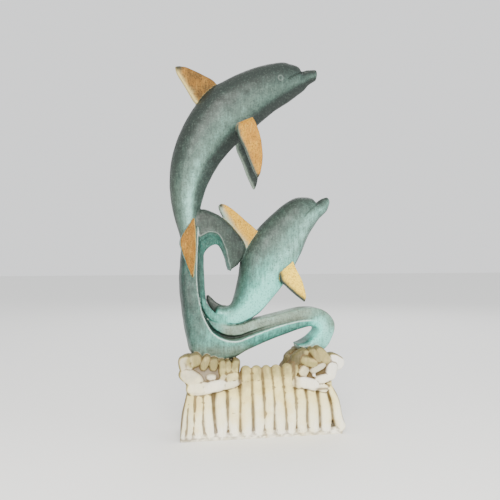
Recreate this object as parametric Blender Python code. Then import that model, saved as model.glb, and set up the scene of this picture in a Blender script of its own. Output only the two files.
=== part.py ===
"""Wooden carving: two leaping dolphins over a curling wave, on a block of root wood carved into fingers.

Everything is carved from one block, so it is one solid. Metres, +Z up, front towards -Y, with the
origin in the middle of the flat underside.
"""

import math

import bmesh
import bpy
from mathutils import Vector

# The base block.
BASE_LENGTH = 0.218
WAIST_LENGTH = 0.188
BASE_DEPTH = 0.072
BASE_HEIGHT = 0.088
BACK_TAPER = 0.013
FINGER_COUNT = 15
SIDE_FINGER_COUNT = 5
FINGER_FULLNESS = 1.12
BACK_HEIGHT = 0.073
FINGER_RISE = 0.003

# The figure above the base: its height and its thicknesses from front to back.
FIGURE_HEIGHT = 0.402
UPPER_THICKNESS = 0.056
LOWER_THICKNESS = 0.048
FIN_THICKNESS = 0.009
PECTORAL_SPREAD = 0.064
WAVE_DEPTH = 0.052
ARCH_DEPTH = 0.030

# Surface.
VOXEL = 0.0016
TRIANGLES = 9300
SMOOTHING = 2
CUT_ALLOWANCE = 0.016

# The figure is drawn on a grid DRAWN_TOP high whose base ends at DRAWN_BASE. One grid step is UNIT.
DRAWN_BASE = 88
DRAWN_TOP = 490
UNIT = FIGURE_HEIGHT / (DRAWN_TOP - DRAWN_BASE)

# Stations down each dolphin from beak to tail: back x, z, belly x, z, share of the thickness, and the
# width of the chamfer along the belly.
UPPER_DOLPHIN = [
    (79, 482, 79, 467, 0.27, 4),
    (68, 481, 70, 461, 0.34, 9),
    (59, 479, 63, 453, 0.42, 11),
    (54, 485, 54, 446, 0.58, 12),
    (43, 488, 42, 437, 0.70, 13),
    (28, 489, 27, 427, 0.82, 14),
    (-6, 480, 6, 410, 0.94, 15),
    (-40, 464, -14, 391, 1.00, 16),
    (-69, 445, -33, 374, 1.00, 17),
    (-95, 408, -52, 351, 0.94, 17),
    (-112, 365, -67, 324, 0.86, 16),
    (-116, 326, -74, 303, 0.76, 14),
    (-112, 291, -79, 279, 0.64, 9),
    (-102, 256, -82, 250, 0.56, 4),
    (-98, 238, -84, 234, 0.50, 2),
]
LOWER_DOLPHIN = [
    (95, 311, 99, 302, 0.28, 3),
    (88, 309, 95, 292, 0.38, 5),
    (79, 304, 89, 286, 0.48, 7),
    (72, 310, 82, 279, 0.62, 8),
    (50, 309, 68, 258, 0.84, 8),
    (24, 291, 54, 228, 0.98, 6),
    (-2, 265, 38, 201, 1.00, 4),
    (-20, 236, 20, 178, 0.96, 3),
    (-26, 203, -2, 155, 0.84, 3),
    (-34, 172, -27, 143, 0.64, 2),
    (-45, 166, -44, 144, 0.52, 2),
    (-51, 166, -52, 148, 0.44, 2),
]

# Fins from root to tip: leading edge x, z, trailing edge x, z, shares of the sideways reach and thickness.
UPPER_DORSAL_FIN = [
    (-50, 446, -74, 424, 0, 1.7),
    (-59, 460, -84, 432, 0, 1.3),
    (-79, 470, -96, 451, 0, 1.1),
    (-94, 476, -106, 467, 0, 1.0),
    (-101, 477, -109, 475, 0, 0.8),
]
UPPER_PECTORAL = [
    (-11, 411, -31, 405, 0.55, 1.3),
    (-10, 406, -33, 396, 0.80, 1.2),
    (-4, 389, -31, 385, 0.92, 1.1),
    (-1, 369, -23, 368, 0.98, 1.1),
    (-1, 353, -16, 350, 1.00, 1.0),
    (-3, 340, -10, 337, 1.00, 0.9),
    (-5, 335, -8, 334, 1.00, 0.8),
]
LOWER_DORSAL_FIN = [
    (4, 260, -16, 240, 0, 1.9),
    (-5, 269, -25, 252, 0, 1.8),
    (-17, 279, -35, 265, 0, 1.6),
    (-31, 291, -44, 279, 0, 1.4),
    (-43, 299, -50, 290, 0, 1.2),
    (-47, 300, -52, 296, 0, 1.0),
]
LOWER_PECTORAL = [
    (43, 226, 24, 212, 0.50, 1.3),
    (45, 216, 25, 200, 0.78, 1.2),
    (51, 204, 33, 192, 0.84, 1.1),
    (56, 190, 43, 183, 0.86, 1.1),
    (58, 179, 52, 176, 0.86, 0.9),
    (57, 175, 55, 174, 0.86, 0.8),
]
UPPER_FLUKE = [
    (-89, 279, -86, 279, 0.66, 0.8),
    (-104, 255, -85, 258, 0.78, 1.3),
    (-103, 240, -85, 240, 0.82, 1.3),
    (-97, 223, -86, 225, 0.82, 1.1),
    (-91, 208, -88, 207, 0.78, 0.8),
]
NEAR_FLUKE_LOBE = [
    (-42, 142, -42, 158, 0.20, 1.7),
    (-56, 146, -55, 157, 0.36, 1.5),
    (-67, 152, -62, 162, 0.44, 1.3),
    (-74, 162, -68, 169, 0.48, 1.2),
    (-77, 172, -72, 176, 0.50, 1.0),
    (-77, 178, -75, 179, 0.50, 0.8),
]
FAR_FLUKE_LOBE = [
    (-40, 146, -40, 167, 0.20, 2.2),
    (-49, 150, -47, 168, 0.26, 2.0),
    (-59, 159, -55, 172, 0.32, 1.7),
    (-66, 171, -60, 177, 0.36, 1.5),
    (-67, 178, -63, 180, 0.36, 1.2),
]
UPPER_FAR_SHIFT = 9
UPPER_FAR_DROP = 10
LOWER_FAR_SHIFT = 11
FLUKE_FAR_SHIFT = 4

# Stations down the wave and the arch: outer x, z, ridge x, z, inner x, z, and how far the ridge, the
# groove inside it, the shoulder and the inner edge stand forward, as shares of half the depth.
WAVE = [
    (-98, 268, -81, 270, -72, 248, 0.62, 0.56, 0.44, 0.08),
    (-103, 205, -84, 206, -71, 206, 0.78, 0.66, 0.48, 0.08),
    (-100, 164, -79, 166, -68, 168, 0.94, 0.50, 0.40, 0.30),
    (-94, 128, -69, 141, -55, 148, 1.02, 0.36, 0.60, 0.56),
    (-85, 103, -59, 130, -44, 143, 1.06, 0.34, 0.70, 0.62),
    (-58, 97, -46, 124, -34, 142, 1.06, 0.34, 0.72, 0.62),
    (-34, 101, -31, 123, -22, 144, 1.06, 0.40, 0.74, 0.62),
    (-17, 110, -15, 128, -8, 149, 1.02, 0.54, 0.74, 0.62),
    (16, 123, 15, 138, 16, 154, 0.94, 0.72, 0.76, 0.62),
    (49, 134, 44, 145, 46, 161, 0.88, 0.78, 0.78, 0.62),
    (68, 139, 65, 147, 72, 164, 0.84, 0.80, 0.80, 0.66),
    (76, 137, 78, 144, 90, 158, 0.80, 0.80, 0.82, 0.72),
    (78, 133, 82, 136, 101, 143, 0.84, 0.86, 0.88, 0.78),
    (75, 129, 79, 127, 98, 126, 0.88, 0.90, 0.90, 0.78),
    (68, 123, 71, 119, 88, 110, 0.88, 0.90, 0.90, 0.78),
    (58, 118, 61, 114, 69, 103, 0.82, 0.84, 0.82, 0.72),
    (51, 116, 52, 114, 54, 109, 0.62, 0.62, 0.60, 0.56),
]
ARCH = [
    (-90, 278, -82, 256, -73, 228, 1.0, 0.86, 0.62, 0.06),
    (-78, 292, -77, 259, -69, 239, 1.0, 0.86, 0.62, 0.06),
    (-63, 290, -66, 264, -60, 246, 1.0, 0.86, 0.62, 0.06),
    (-47, 281, -54, 260, -52, 245, 1.0, 0.86, 0.62, 0.06),
    (-30, 264, -46, 244, -44, 229, 1.0, 0.86, 0.68, 0.20),
    (-17, 243, -42, 227, -40, 216, 0.9, 0.84, 0.72, 0.40),
    (-27, 221, -39, 214, -37, 208, 0.8, 0.76, 0.68, 0.50),
]

# Where the two feet of the wave stand, and the roots that make each capital under them:
# start x, z, end x, z, radius and share of the half depth, with x counted from the foot.
LEFT_FOOT = -64
RIGHT_FOOT = 74
LEFT_ROOTS = [
    (-35, 97, -22, 102, 10.5, 0.88),
    (-36, 99, -34, 86, 9, 0.30),
    (-14, 103, -15, 94, 6.0, 0.96),
    (-3, 102, -1, 94, 5.5, 1.00),
    (8, 101, 8, 84, 5.0, 0.98),
    (17, 100, 17, 84, 4.2, 1.00),
    (27, 98, 28, 84, 6.0, 0.92),
    (34, 94, 31, 84, 6.0, 0.40),
    (-35, 82, -26, 80, 10, 0.86),
    (-24, 80, -18, 72, 7.5, 0.90),
    (-8, 80, -4, 79, 5.0, 0.88),
    (15, 81, 26, 81, 6.5, 1.04),
    (-28, 66, -2, 69, 8.0, 0.96),
    (-2, 69, 31, 77, 7.5, 0.98),
]
RIGHT_ROOTS = [
    (-22, 102, -16, 92, 7.0, 0.80),
    (-13, 104, -12, 96, 4.0, 0.92),
    (-6, 103, 4, 93, 7.0, 0.98),
    (8, 104, 27, 94, 9.0, 0.95),
    (26, 97, 27, 86, 9.0, 0.60),
    (-28, 93, -14, 94, 6.5, 0.86),
    (-36, 83, -28, 90, 6.0, 0.72),
    (-17, 91, -9, 88, 7.0, 1.00),
    (-28, 80, -18, 84, 6.0, 0.94),
    (-7, 86, 6, 86, 5.5, 1.00),
    (0, 76, 15, 84, 9.5, 0.98),
    (22, 80, 20, 66, 5.5, 0.74),
    (-31, 71, -18, 71, 7.5, 0.94),
    (-18, 70, 6, 63, 7.0, 1.00),
    (6, 63, 17, 60, 6.0, 0.94),
]
CAPITAL_REACH = 36
BACK_ROOT_DROP = 6
BACK_ROOT_SHIFT = 8

# The solid wood behind each capital's roots: its depth from the middle, and outline x, z.
HEART_DEPTH = 0.028
LEFT_HEART = [
    (-101, 72), (-94, 62), (-36, 64), (-30, 84), (-32, 98), (-38, 101), (-88, 105), (-101, 102),
]
RIGHT_HEART = [
    (46, 64), (92, 60), (94, 72), (103, 84), (103, 95), (86, 106), (60, 106), (50, 98), (44, 84),
]

# Sections: how square the back and the belly are, the flat along the belly as a share of the half
# thickness, the least place of the crease above it, how far the ends are rounded, and the fins' edges.
BACK_POWER = 2.2
BELLY_POWER = 2.9
BELLY_FLAT = 0.34
LEAST_CREASE = 0.35
BEAK_ROUNDING = 0.16
TAIL_ROUNDING = 0.3
FIN_BEVEL = 0.12
FIN_SHOULDER = 0.94
EDGE_SHARE = 0.62
FIN_ROUNDING = 0.2

FINISH = {
    "name": "painted and bleached parasite wood",
    "colour": (0.27, 0.34, 0.28, 1.0),
    "roughness": 0.62,
    "metallic": 0.0,
}


def place(x, z, y=0.0):
    """A point of the figure from its grid position; y is in metres."""
    return Vector((x * UNIT, y, BASE_HEIGHT + (z - DRAWN_BASE) * UNIT))


def spline(rows, steps):
    """Rows of numbers carried smoothly through the given rows, with steps rows for each gap."""
    out = []
    last = len(rows) - 1
    for i in range(last):
        before = rows[max(i - 1, 0)]
        here, there = rows[i], rows[i + 1]
        after = rows[min(i + 2, last)]
        for k in range(steps):
            t = k / steps
            out.append([
                0.5 * (2 * b + (c - a) * t + (2 * a - 5 * b + 4 * c - d) * t ** 2
                       + (3 * b - a - 3 * c + d) * t ** 3)
                for a, b, c, d in zip(before, here, there, after)
            ])
    out.append(list(rows[last]))
    return out


def power(value, exponent):
    return math.copysign(abs(value) ** exponent, value)


def add_loft(bm, rings):
    """A closed skin over rings of equal length, capped at both ends."""
    rows = [[bm.verts.new(point) for point in ring] for ring in rings]
    count = len(rows[0])
    for low, high in zip(rows, rows[1:]):
        for k in range(count):
            n = (k + 1) % count
            bm.faces.new((low[k], low[n], high[n], high[k]))
    bm.faces.new(list(reversed(rows[0])))
    bm.faces.new(rows[-1])


def round_end(ring, following, reach, steps=3):
    """Rings that close a loft with a soft end beyond its last ring, which following comes before."""
    centre = sum(ring, Vector()) / len(ring)
    inner = sum(following, Vector()) / len(following)
    outward = (centre - inner).normalized() * reach
    extra = []
    for k in range(1, steps + 1):
        angle = math.radians(82) * k / steps
        extra.append([
            centre + outward * math.sin(angle) + (point - centre) * math.cos(angle) for point in ring
        ])
    return extra


def add_body(bm, rows, thickness, around=24, steps=3):
    """A dolphin's body: rounded along the back, with a chamfer on both sides of the belly."""
    rings = []
    for row in spline(rows, steps):
        back, belly = place(row[0], row[1]), place(row[2], row[3])
        centre, across = (back + belly) / 2, (back - belly) / 2
        half = row[4] * thickness / 2
        crease = max(1 - row[5] * UNIT / across.length, LEAST_CREASE)
        ring = []
        for k in range(around):
            c, s = math.cos(2 * math.pi * k / around), math.sin(2 * math.pi * k / around)
            exponent = 2 / (BACK_POWER + (BELLY_POWER - BACK_POWER) * (1 - c) / 2)
            u, v = power(c, exponent), power(s, exponent)
            if u < -crease:
                full = (1 - crease ** BELLY_POWER) ** (1 / BELLY_POWER)
                slope = (-u - crease) / (1 - crease)
                v = math.copysign(min(abs(v), full + (BELLY_FLAT - full) * slope), v)
            ring.append(centre + across * u + Vector((0.0, half * v, 0.0)))
        rings.append(ring)
    start = (rings[0][0] - rings[0][around // 2]).length * BEAK_ROUNDING
    end = (rings[-1][0] - rings[-1][around // 2]).length * TAIL_ROUNDING
    head = round_end(rings[0], rings[1], start)
    tail = round_end(rings[-1], rings[-2], end)
    add_loft(bm, list(reversed(head)) + rings + tail)


def add_fin(bm, rows, spread, side=1, shift=0, drop=0, steps=3):
    """A flat fin with two faces and a square edge all round."""
    rings = []
    for row in spline(rows, steps):
        out = side * row[4] * spread / 2
        lead = place(row[0] + shift, row[1] - drop, out)
        trail = place(row[2] + shift, row[3] - drop, out)
        half = row[5] * FIN_THICKNESS / 2
        section = [(0, EDGE_SHARE), (FIN_BEVEL, FIN_SHOULDER), (0.5, 1.0)]
        section += [(1 - FIN_BEVEL, FIN_SHOULDER), (1, EDGE_SHARE)]
        front = [lead.lerp(trail, s) + Vector((0, -half * h, 0)) for s, h in section]
        back = [lead.lerp(trail, s) + Vector((0, half * h, 0)) for s, h in reversed(section)]
        rings.append(front + back)
    head = round_end(rings[0], rings[1], FIN_THICKNESS * FIN_ROUNDING)
    tail = round_end(rings[-1], rings[-2], FIN_THICKNESS * FIN_ROUNDING)
    add_loft(bm, list(reversed(head)) + rings + tail)


def add_ribbon(bm, rows, depth, back, steps=3):
    """A band with a proud front ridge and a groove inside it: the wave and the arch."""
    half = depth / 2
    rings = []
    for row in spline(rows, steps):
        outer, ridge, inner = Vector(row[0:2]), Vector(row[2:4]), Vector(row[4:6])
        proud, groove, shoulder, lip = (value * half for value in row[6:10])
        belt = outer.lerp(ridge, 0.5)
        channel = ridge.lerp(inner, 0.14)
        shelf = ridge.lerp(inner, 0.36)
        section = [
            (outer, -0.62 * proud),
            (belt, -0.94 * proud),
            (ridge, -proud),
            (channel, -groove),
            (shelf, -shoulder),
            (inner, -lip),
            (inner, back * lip),
            (shelf, back * shoulder),
            (ridge, back * 0.86 * proud),
            (belt, back * 0.90 * proud),
            (outer, back * 0.56 * proud),
        ]
        rings.append([place(point.x, point.y, y) for point, y in section])
    add_loft(bm, [list(reversed(ring)) for ring in rings])


def add_root(bm, path, radius, around=12, steps=4):
    """A finger of root, round at both ends; the path's rows are x, y, z and share of the radius."""
    rows = spline(path, steps)
    spine = [Vector(row[0:3]) for row in rows]
    widths = [radius * row[3] for row in rows]
    profile = [(math.cos(math.radians(a)), math.sin(math.radians(a))) for a in (12, 40, 66)]
    first_way = (spine[1] - spine[0]).normalized()
    last_way = (spine[-1] - spine[-2]).normalized()
    head = [(spine[0] - first_way * widths[0] * c, widths[0] * s) for c, s in profile]
    tail = [(spine[-1] + last_way * widths[-1] * c, widths[-1] * s) for c, s in reversed(profile)]
    line = head + list(zip(spine, widths)) + tail
    skin = []
    normal = first_way.orthogonal().normalized()
    for n, (centre, width) in enumerate(line):
        way = (line[min(n + 1, len(line) - 1)][0] - line[max(n - 1, 0)][0]).normalized()
        normal = (normal - way * normal.dot(way)).normalized()
        across = way.cross(normal)
        skin.append([
            centre + (normal * math.cos(a) + across * math.sin(a)) * width
            for a in (2 * math.pi * k / around for k in range(around))
        ])
    add_loft(bm, skin)


def add_slab(bm, outline, half_depth):
    """A flat block with the given outline, standing half_depth to the front and to the back."""
    rings = []
    for y in (-half_depth, half_depth):
        drop = BACK_ROOT_DROP * (y > 0)
        points = [place(x, z - drop, y) for x, z in outline]
        rings.append([Vector((tapered(point.x, y), y, point.z)) for point in points])
    add_loft(bm, rings)


def add_block(bm, half_length, half_depth, bottom, top):
    """A plain block whose ends draw in towards the back."""
    made = bmesh.ops.create_cube(bm, size=2.0)["verts"]
    for vert in made:
        y = vert.co.y * half_depth
        vert.co = Vector((tapered(vert.co.x * half_length, y), y, top if vert.co.z > 0 else bottom))


def under_capital(x):
    return any(abs(x - foot * UNIT) < CAPITAL_REACH * UNIT for foot in (LEFT_FOOT, RIGHT_FOOT))


def tapered(x, y):
    """Where x lies at depth y on a block whose ends draw in towards the back."""
    share = 0.5 + y / BASE_DEPTH
    return x * (1 - 2 * BACK_TAPER / BASE_LENGTH * share)


def add_fingers(bm):
    """Upright fingers all round the block, leaning out towards the bottom, over a plain core."""
    pitch = BASE_LENGTH / FINGER_COUNT
    radius = pitch * FINGER_FULLNESS / 2
    waist = WAIST_LENGTH / BASE_LENGTH
    core_x, core_y = BASE_LENGTH / 2 - radius, BASE_DEPTH / 2 - radius
    spots = []
    for k in range(FINGER_COUNT):
        x = -core_x + 2 * core_x * k / (FINGER_COUNT - 1)
        spots += [(x, -core_y), (x, core_y)]
    for k in range(1, SIDE_FINGER_COUNT - 1):
        y = core_y * (2 * k / (SIDE_FINGER_COUNT - 1) - 1)
        spots += [(-core_x, y), (core_x, y)]
    for n, (x, y) in enumerate(spots):
        x = tapered(x, y)
        sway = 0.16 * radius * math.sin(2.4 * n)
        full = 1 + 0.07 * math.sin(2.9 * n)
        front_top = BASE_HEIGHT + FINGER_RISE if y < 0 else BACK_HEIGHT
        top = BASE_HEIGHT * 0.74 if under_capital(x) else front_top
        top -= radius * (0.9 + 0.2 * math.sin(1.7 * n))
        foot = radius * 0.98
        path = []
        for share, sideways, width in ((0, 0, 0.96), (0.35, -sway, 1.05), (0.7, sway, 0.97), (1, 0, 1)):
            z = foot + (top - foot) * share
            lean = 1 - (1 - waist) * min(z / (0.7 * BASE_HEIGHT), 1)
            path.append((x * lean + sideways, y, z, full * width))
        add_root(bm, path, radius)
    middle = (core_x + core_x * waist) / 2
    add_block(bm, middle, core_y + radius * 0.3, -CUT_ALLOWANCE, BACK_HEIGHT * 0.95)
    add_block(bm, core_x + radius * 0.7, core_y + radius * 0.88, -CUT_ALLOWANCE, radius * 1.2)


def add_capital(bm, foot, roots, heart):
    """The knot of roots under one foot of the wave, front and back, over solid wood."""
    half = BASE_DEPTH / 2
    add_slab(bm, heart, HEART_DEPTH)
    for x, z, x2, z2, radius, share in roots:
        for side in (-1, 1):
            y = side * (share * half - radius * UNIT * 0.6)
            drop = BACK_ROOT_DROP * (side > 0)
            shift = BACK_ROOT_SHIFT * (side > 0 and 0 < foot + x < RIGHT_FOOT)
            start = place(foot + x + shift, z - drop, y)
            end = place(foot + x2 + shift, z2 - drop, y)
            start.x, end.x = tapered(start.x, y), tapered(end.x, y)
            middle = (start + end) / 2
            add_root(bm, [(*start, 0.94), (*middle, 1.06), (*end, 0.94)], radius * UNIT)


def add_figure(bm):
    """The two dolphins, their fins, the arch and the wave."""
    add_body(bm, UPPER_DOLPHIN, UPPER_THICKNESS)
    add_body(bm, LOWER_DOLPHIN, LOWER_THICKNESS)
    add_ribbon(bm, WAVE, WAVE_DEPTH, back=0.82)
    add_ribbon(bm, ARCH, ARCH_DEPTH, back=1.0)
    add_fin(bm, UPPER_DORSAL_FIN, PECTORAL_SPREAD)
    add_fin(bm, LOWER_DORSAL_FIN, PECTORAL_SPREAD)
    for side in (-1, 1):
        far = side > 0
        add_fin(bm, UPPER_PECTORAL, PECTORAL_SPREAD, side, UPPER_FAR_SHIFT * far, UPPER_FAR_DROP * far)
        add_fin(bm, LOWER_PECTORAL, PECTORAL_SPREAD, side, LOWER_FAR_SHIFT * far)
        add_fin(bm, UPPER_FLUKE, WAVE_DEPTH, side, FLUKE_FAR_SHIFT * far)
        add_fin(bm, FAR_FLUKE_LOBE if far else NEAR_FLUKE_LOBE, WAVE_DEPTH, side)


def evaluated(obj):
    """The object's mesh with its modifiers applied."""
    return bpy.data.meshes.new_from_object(obj.evaluated_get(bpy.context.evaluated_depsgraph_get()))


def fuse(obj):
    """Joins the overlapping forms into one carved skin."""
    remesh = obj.modifiers.new("carved skin", "REMESH")
    remesh.mode = "VOXEL"
    remesh.voxel_size = VOXEL
    smooth = obj.modifiers.new("rasped", "SMOOTH")
    smooth.factor = 0.5
    smooth.iterations = SMOOTHING
    whole = evaluated(obj)
    obj.modifiers.clear()
    obj.data = whole
    decimate = obj.modifiers.new("facets", "DECIMATE")
    decimate.ratio = TRIANGLES / sum(len(face.vertices) - 2 for face in whole.polygons)
    obj.data = evaluated(obj)
    obj.modifiers.clear()


def cut_underside(mesh):
    """Saws the block off flat at height 0."""
    bm = bmesh.new()
    bm.from_mesh(mesh)
    bmesh.ops.bisect_plane(
        bm,
        geom=bm.verts[:] + bm.edges[:] + bm.faces[:],
        dist=0.00005,
        plane_co=(0, 0, 0),
        plane_no=(0, 0, -1),
        clear_outer=True,
    )
    rim = [edge for edge in bm.edges if edge.is_boundary]
    bmesh.ops.holes_fill(bm, edges=rim, sides=0)
    bmesh.ops.triangulate(bm, faces=bm.faces[:])
    bmesh.ops.recalc_face_normals(bm, faces=bm.faces[:])
    bm.to_mesh(mesh)
    bm.free()


def make_material(finish):
    material = bpy.data.materials.new(finish["name"])
    material.use_nodes = True
    shader = material.node_tree.nodes["Principled BSDF"]
    shader.inputs["Base Color"].default_value = finish["colour"]
    shader.inputs["Roughness"].default_value = finish["roughness"]
    shader.inputs["Metallic"].default_value = finish["metallic"]
    return material


def main():
    for obj in list(bpy.data.objects):
        bpy.data.objects.remove(obj, do_unlink=True)
    bm = bmesh.new()
    add_figure(bm)
    add_fingers(bm)
    add_capital(bm, LEFT_FOOT, LEFT_ROOTS, LEFT_HEART)
    add_capital(bm, RIGHT_FOOT, RIGHT_ROOTS, RIGHT_HEART)
    bmesh.ops.recalc_face_normals(bm, faces=bm.faces[:])
    mesh = bpy.data.meshes.new("dolphin_carving")
    bm.to_mesh(mesh)
    bm.free()
    carving = bpy.data.objects.new("dolphin_carving", mesh)
    bpy.context.scene.collection.objects.link(carving)
    fuse(carving)
    cut_underside(carving.data)
    carving.data.materials.clear()
    carving.data.materials.append(make_material(FINISH))
    carving.data.shade_smooth()
    carving.data.set_sharp_from_angle(angle=math.radians(40))


main()
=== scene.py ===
"""Looks of a wooden carving: two leaping dolphins over a curling wave, on a block of root wood.

The tables are in millimetres: x from the middle and z up from the flat underside. The front faces -Y.
"""

import math

import bmesh
import bpy
import numpy as np
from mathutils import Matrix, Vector
from mathutils.bvhtree import BVHTree


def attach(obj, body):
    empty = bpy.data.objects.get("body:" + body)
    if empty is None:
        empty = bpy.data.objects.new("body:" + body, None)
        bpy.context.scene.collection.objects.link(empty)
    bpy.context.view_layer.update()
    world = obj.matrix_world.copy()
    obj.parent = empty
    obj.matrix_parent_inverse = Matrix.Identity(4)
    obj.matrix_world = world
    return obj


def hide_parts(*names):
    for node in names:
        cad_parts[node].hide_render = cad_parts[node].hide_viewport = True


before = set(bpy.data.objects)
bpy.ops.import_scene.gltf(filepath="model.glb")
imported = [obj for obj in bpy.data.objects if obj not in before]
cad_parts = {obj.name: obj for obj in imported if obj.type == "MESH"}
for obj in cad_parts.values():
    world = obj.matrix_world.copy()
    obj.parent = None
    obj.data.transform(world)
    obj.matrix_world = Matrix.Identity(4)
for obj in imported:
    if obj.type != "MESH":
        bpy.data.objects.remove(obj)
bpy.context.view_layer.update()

MM = 0.001

# The eye point: just left of the front, level, under a metre away.
VIEW_TURN = 12.0
VIEW_AIM = (-10.0, 0.0, 240.0)
VIEW_DISTANCE = 950.0
LENS = 51.8

# The carving as a whole.
UPPER_THICKNESS = 56.0
LOWER_THICKNESS = 48.0
FIN_THICKNESS = 9.0
PECTORAL_SPREAD = 64.0
WAVE_DEPTH = 52.0
ARCH_DEPTH = 30.0
BASE_LENGTH = 218.0
BASE_DEPTH = 72.0
BASE_HEIGHT = 88.0
BACK_HEIGHT = 73.0
BACK_TAPER = 13.0
PLINTH_HEIGHT = 8.0

# The carved skin: how finely it is fused, and how many triangles are kept.
VOXEL = 0.95
TRIANGLES = 190000
CUT_ALLOWANCE = 16.0

# Stations down each dolphin from beak to tail: back x, z, belly x, z, share of the thickness, and the
# width of the chamfer along the belly.
UPPER_DOLPHIN = [
    (79, 482, 79, 467, 0.27, 4),
    (68, 481, 70, 461, 0.34, 9),
    (59, 479, 63, 453, 0.42, 11),
    (54, 485, 54, 446, 0.58, 12),
    (43, 488, 42, 437, 0.70, 13),
    (28, 489, 27, 427, 0.82, 14),
    (-6, 480, 6, 410, 0.94, 15),
    (-40, 464, -14, 391, 1.00, 16),
    (-69, 445, -33, 374, 1.00, 17),
    (-95, 408, -52, 351, 0.94, 17),
    (-112, 365, -67, 324, 0.86, 16),
    (-116, 326, -74, 303, 0.76, 14),
    (-112, 291, -79, 279, 0.64, 9),
    (-102, 256, -82, 250, 0.56, 4),
    (-98, 238, -84, 234, 0.50, 2),
]
LOWER_DOLPHIN = [
    (95, 311, 99, 302, 0.28, 3),
    (88, 309, 95, 292, 0.38, 5),
    (79, 304, 89, 286, 0.48, 7),
    (72, 310, 82, 279, 0.62, 8),
    (50, 309, 68, 258, 0.84, 8),
    (24, 291, 54, 228, 0.98, 6),
    (-2, 265, 38, 201, 1.00, 4),
    (-20, 236, 20, 178, 0.96, 3),
    (-26, 203, -2, 155, 0.84, 3),
    (-34, 172, -27, 143, 0.64, 2),
    (-45, 166, -44, 144, 0.52, 2),
    (-51, 166, -52, 148, 0.44, 2),
]

# Fins from root to tip: leading edge x, z, trailing edge x, z, shares of the sideways reach and thickness.
UPPER_DORSAL_FIN = [
    (-50, 446, -74, 424, 0, 1.7),
    (-59, 460, -84, 432, 0, 1.3),
    (-79, 470, -96, 451, 0, 1.1),
    (-94, 476, -106, 467, 0, 1.0),
    (-101, 477, -109, 475, 0, 0.8),
]
UPPER_PECTORAL = [
    (-11, 411, -31, 405, 0.55, 1.3),
    (-10, 406, -33, 396, 0.80, 1.2),
    (-4, 389, -31, 385, 0.92, 1.1),
    (-1, 369, -23, 368, 0.98, 1.1),
    (-1, 353, -16, 350, 1.00, 1.0),
    (-3, 340, -10, 337, 1.00, 0.9),
    (-5, 335, -8, 334, 1.00, 0.8),
]
LOWER_DORSAL_FIN = [
    (4, 260, -16, 240, 0, 1.9),
    (-5, 269, -25, 252, 0, 1.8),
    (-17, 279, -35, 265, 0, 1.6),
    (-31, 291, -44, 279, 0, 1.4),
    (-43, 299, -50, 290, 0, 1.2),
    (-47, 300, -52, 296, 0, 1.0),
]
LOWER_PECTORAL = [
    (43, 226, 24, 212, 0.50, 1.3),
    (45, 216, 25, 200, 0.78, 1.2),
    (51, 204, 33, 192, 0.84, 1.1),
    (56, 190, 43, 183, 0.86, 1.1),
    (58, 179, 52, 176, 0.86, 0.9),
    (57, 175, 55, 174, 0.86, 0.8),
]
UPPER_FLUKE = [
    (-89, 279, -86, 279, 0.66, 0.8),
    (-104, 255, -85, 258, 0.78, 1.3),
    (-103, 240, -85, 240, 0.82, 1.3),
    (-97, 223, -86, 225, 0.82, 1.1),
    (-91, 208, -88, 207, 0.78, 0.8),
]
NEAR_FLUKE_LOBE = [
    (-34, 144, -34, 158, 0.06, 1.4),
    (-46, 143, -46, 157, 0.26, 1.6),
    (-56, 146, -55, 157, 0.36, 1.5),
    (-67, 152, -62, 162, 0.44, 1.3),
    (-74, 162, -68, 169, 0.48, 1.2),
    (-77, 172, -72, 176, 0.50, 1.0),
    (-77, 178, -75, 179, 0.50, 0.8),
]
FAR_FLUKE_LOBE = [
    (-40, 146, -40, 167, 0.20, 2.2),
    (-49, 150, -47, 168, 0.26, 2.0),
    (-59, 159, -55, 172, 0.32, 1.7),
    (-66, 171, -60, 177, 0.36, 1.5),
    (-67, 178, -63, 180, 0.36, 1.2),
]

# A body's section: how full its back and belly are, and its belly chamfer, which starts at BELLY_MARK.
BACK_POWER = 2.2
BELLY_POWER = 0.35
BELLY_MARK = -0.72
BELLY_FLAT = 0.34
CREASE_POWER = 2.9
LEAST_CREASE = 0.35
BEAK_ROUNDING = 0.16
TAIL_ROUNDING = 0.3
# A fin's edge: the bevel's width, then shares of that width and of the fin's thickness.
FIN_BEVEL = 1.4
FIN_EDGE = [(0, 0.62), (0.4, 0.84), (1, 0.94)]
FIN_ROUNDING = 2.0
# How far the far fin of a pair is shifted to the right, and dropped.
UPPER_FAR_SHIFT = 9
UPPER_FAR_DROP = 10
LOWER_FAR_SHIFT = 11
FLUKE_FAR_SHIFT = 4

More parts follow.
